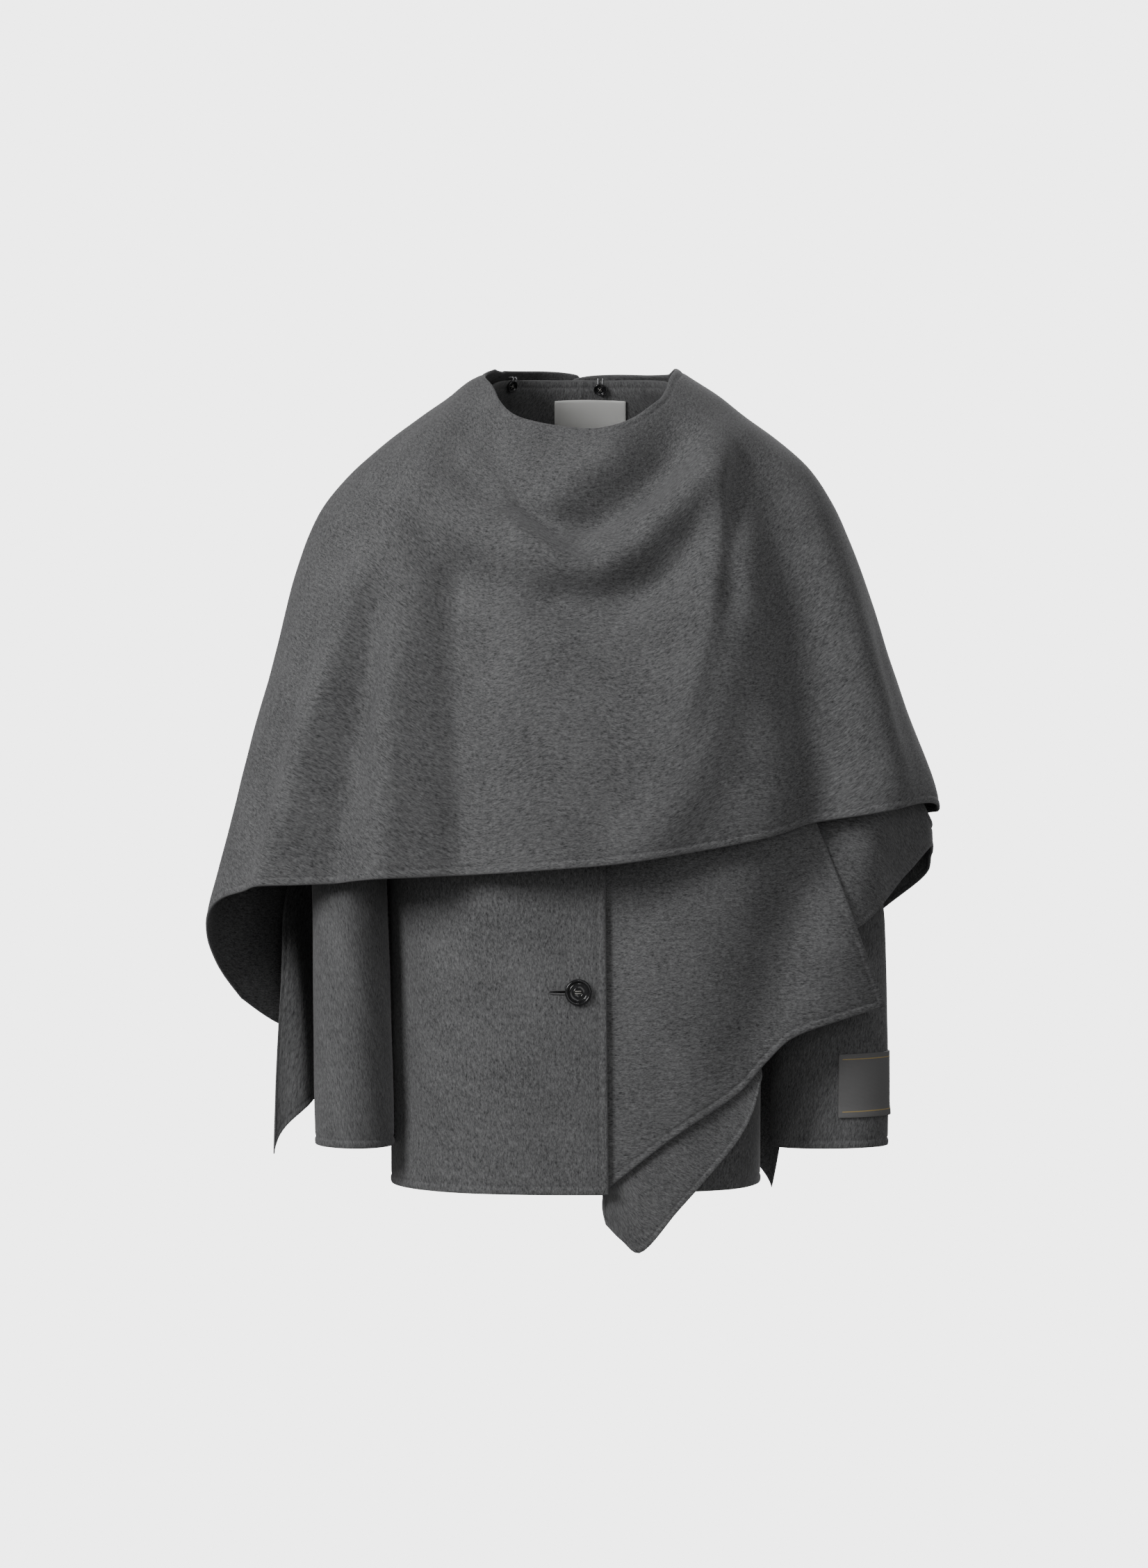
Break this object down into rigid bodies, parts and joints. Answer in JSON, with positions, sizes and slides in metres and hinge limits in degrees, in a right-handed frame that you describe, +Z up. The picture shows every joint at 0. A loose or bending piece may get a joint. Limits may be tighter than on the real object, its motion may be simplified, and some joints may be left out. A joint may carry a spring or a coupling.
{
  "type": "worn wool coat with wound scarf",
  "caption": "Hip-length charcoal wool coat filled out as worn, with one front button and a wide wool scarf wound round the shoulders like a cape.",
  "frame": {"origin": "middle of the neck base, where the wearer's shoulders carry the coat", "axes": "+Z up to the wearer's head, -Y to the front, +X to the wearer's left"},
  "size_m": [0.6752, 0.317, 0.8015],
  "materials": {
    "wool": "matte",
    "scarf_wool": "matte",
    "black_horn": "gloss",
    "elastic": "satin",
    "label_white": "satin",
    "label_grey": "satin"
  },
  "bodies": {
    "root": {"coat_back_left": "wool", "coat_back_right": "wool", "coat_front_right": "wool", "coat_front_left": "wool", "sleeve_right_top": "wool", "sleeve_right_under": "wool", "sleeve_left_top": "wool", "sleeve_left_under": "wool", "scarf_front": "scarf_wool", "scarf_back": "scarf_wool", "scarf_left_arm": "scarf_wool", "scarf_end_back": "scarf_wool", "scarf_end_front": "scarf_wool", "button_front": "black_horn", "neck_button_right": "black_horn", "neck_button_left": "black_horn", "neck_loop_right": "elastic", "neck_loop_left": "elastic", "neck_label": "label_white", "sleeve_label": "label_grey"}
  },
  "joints": []
}
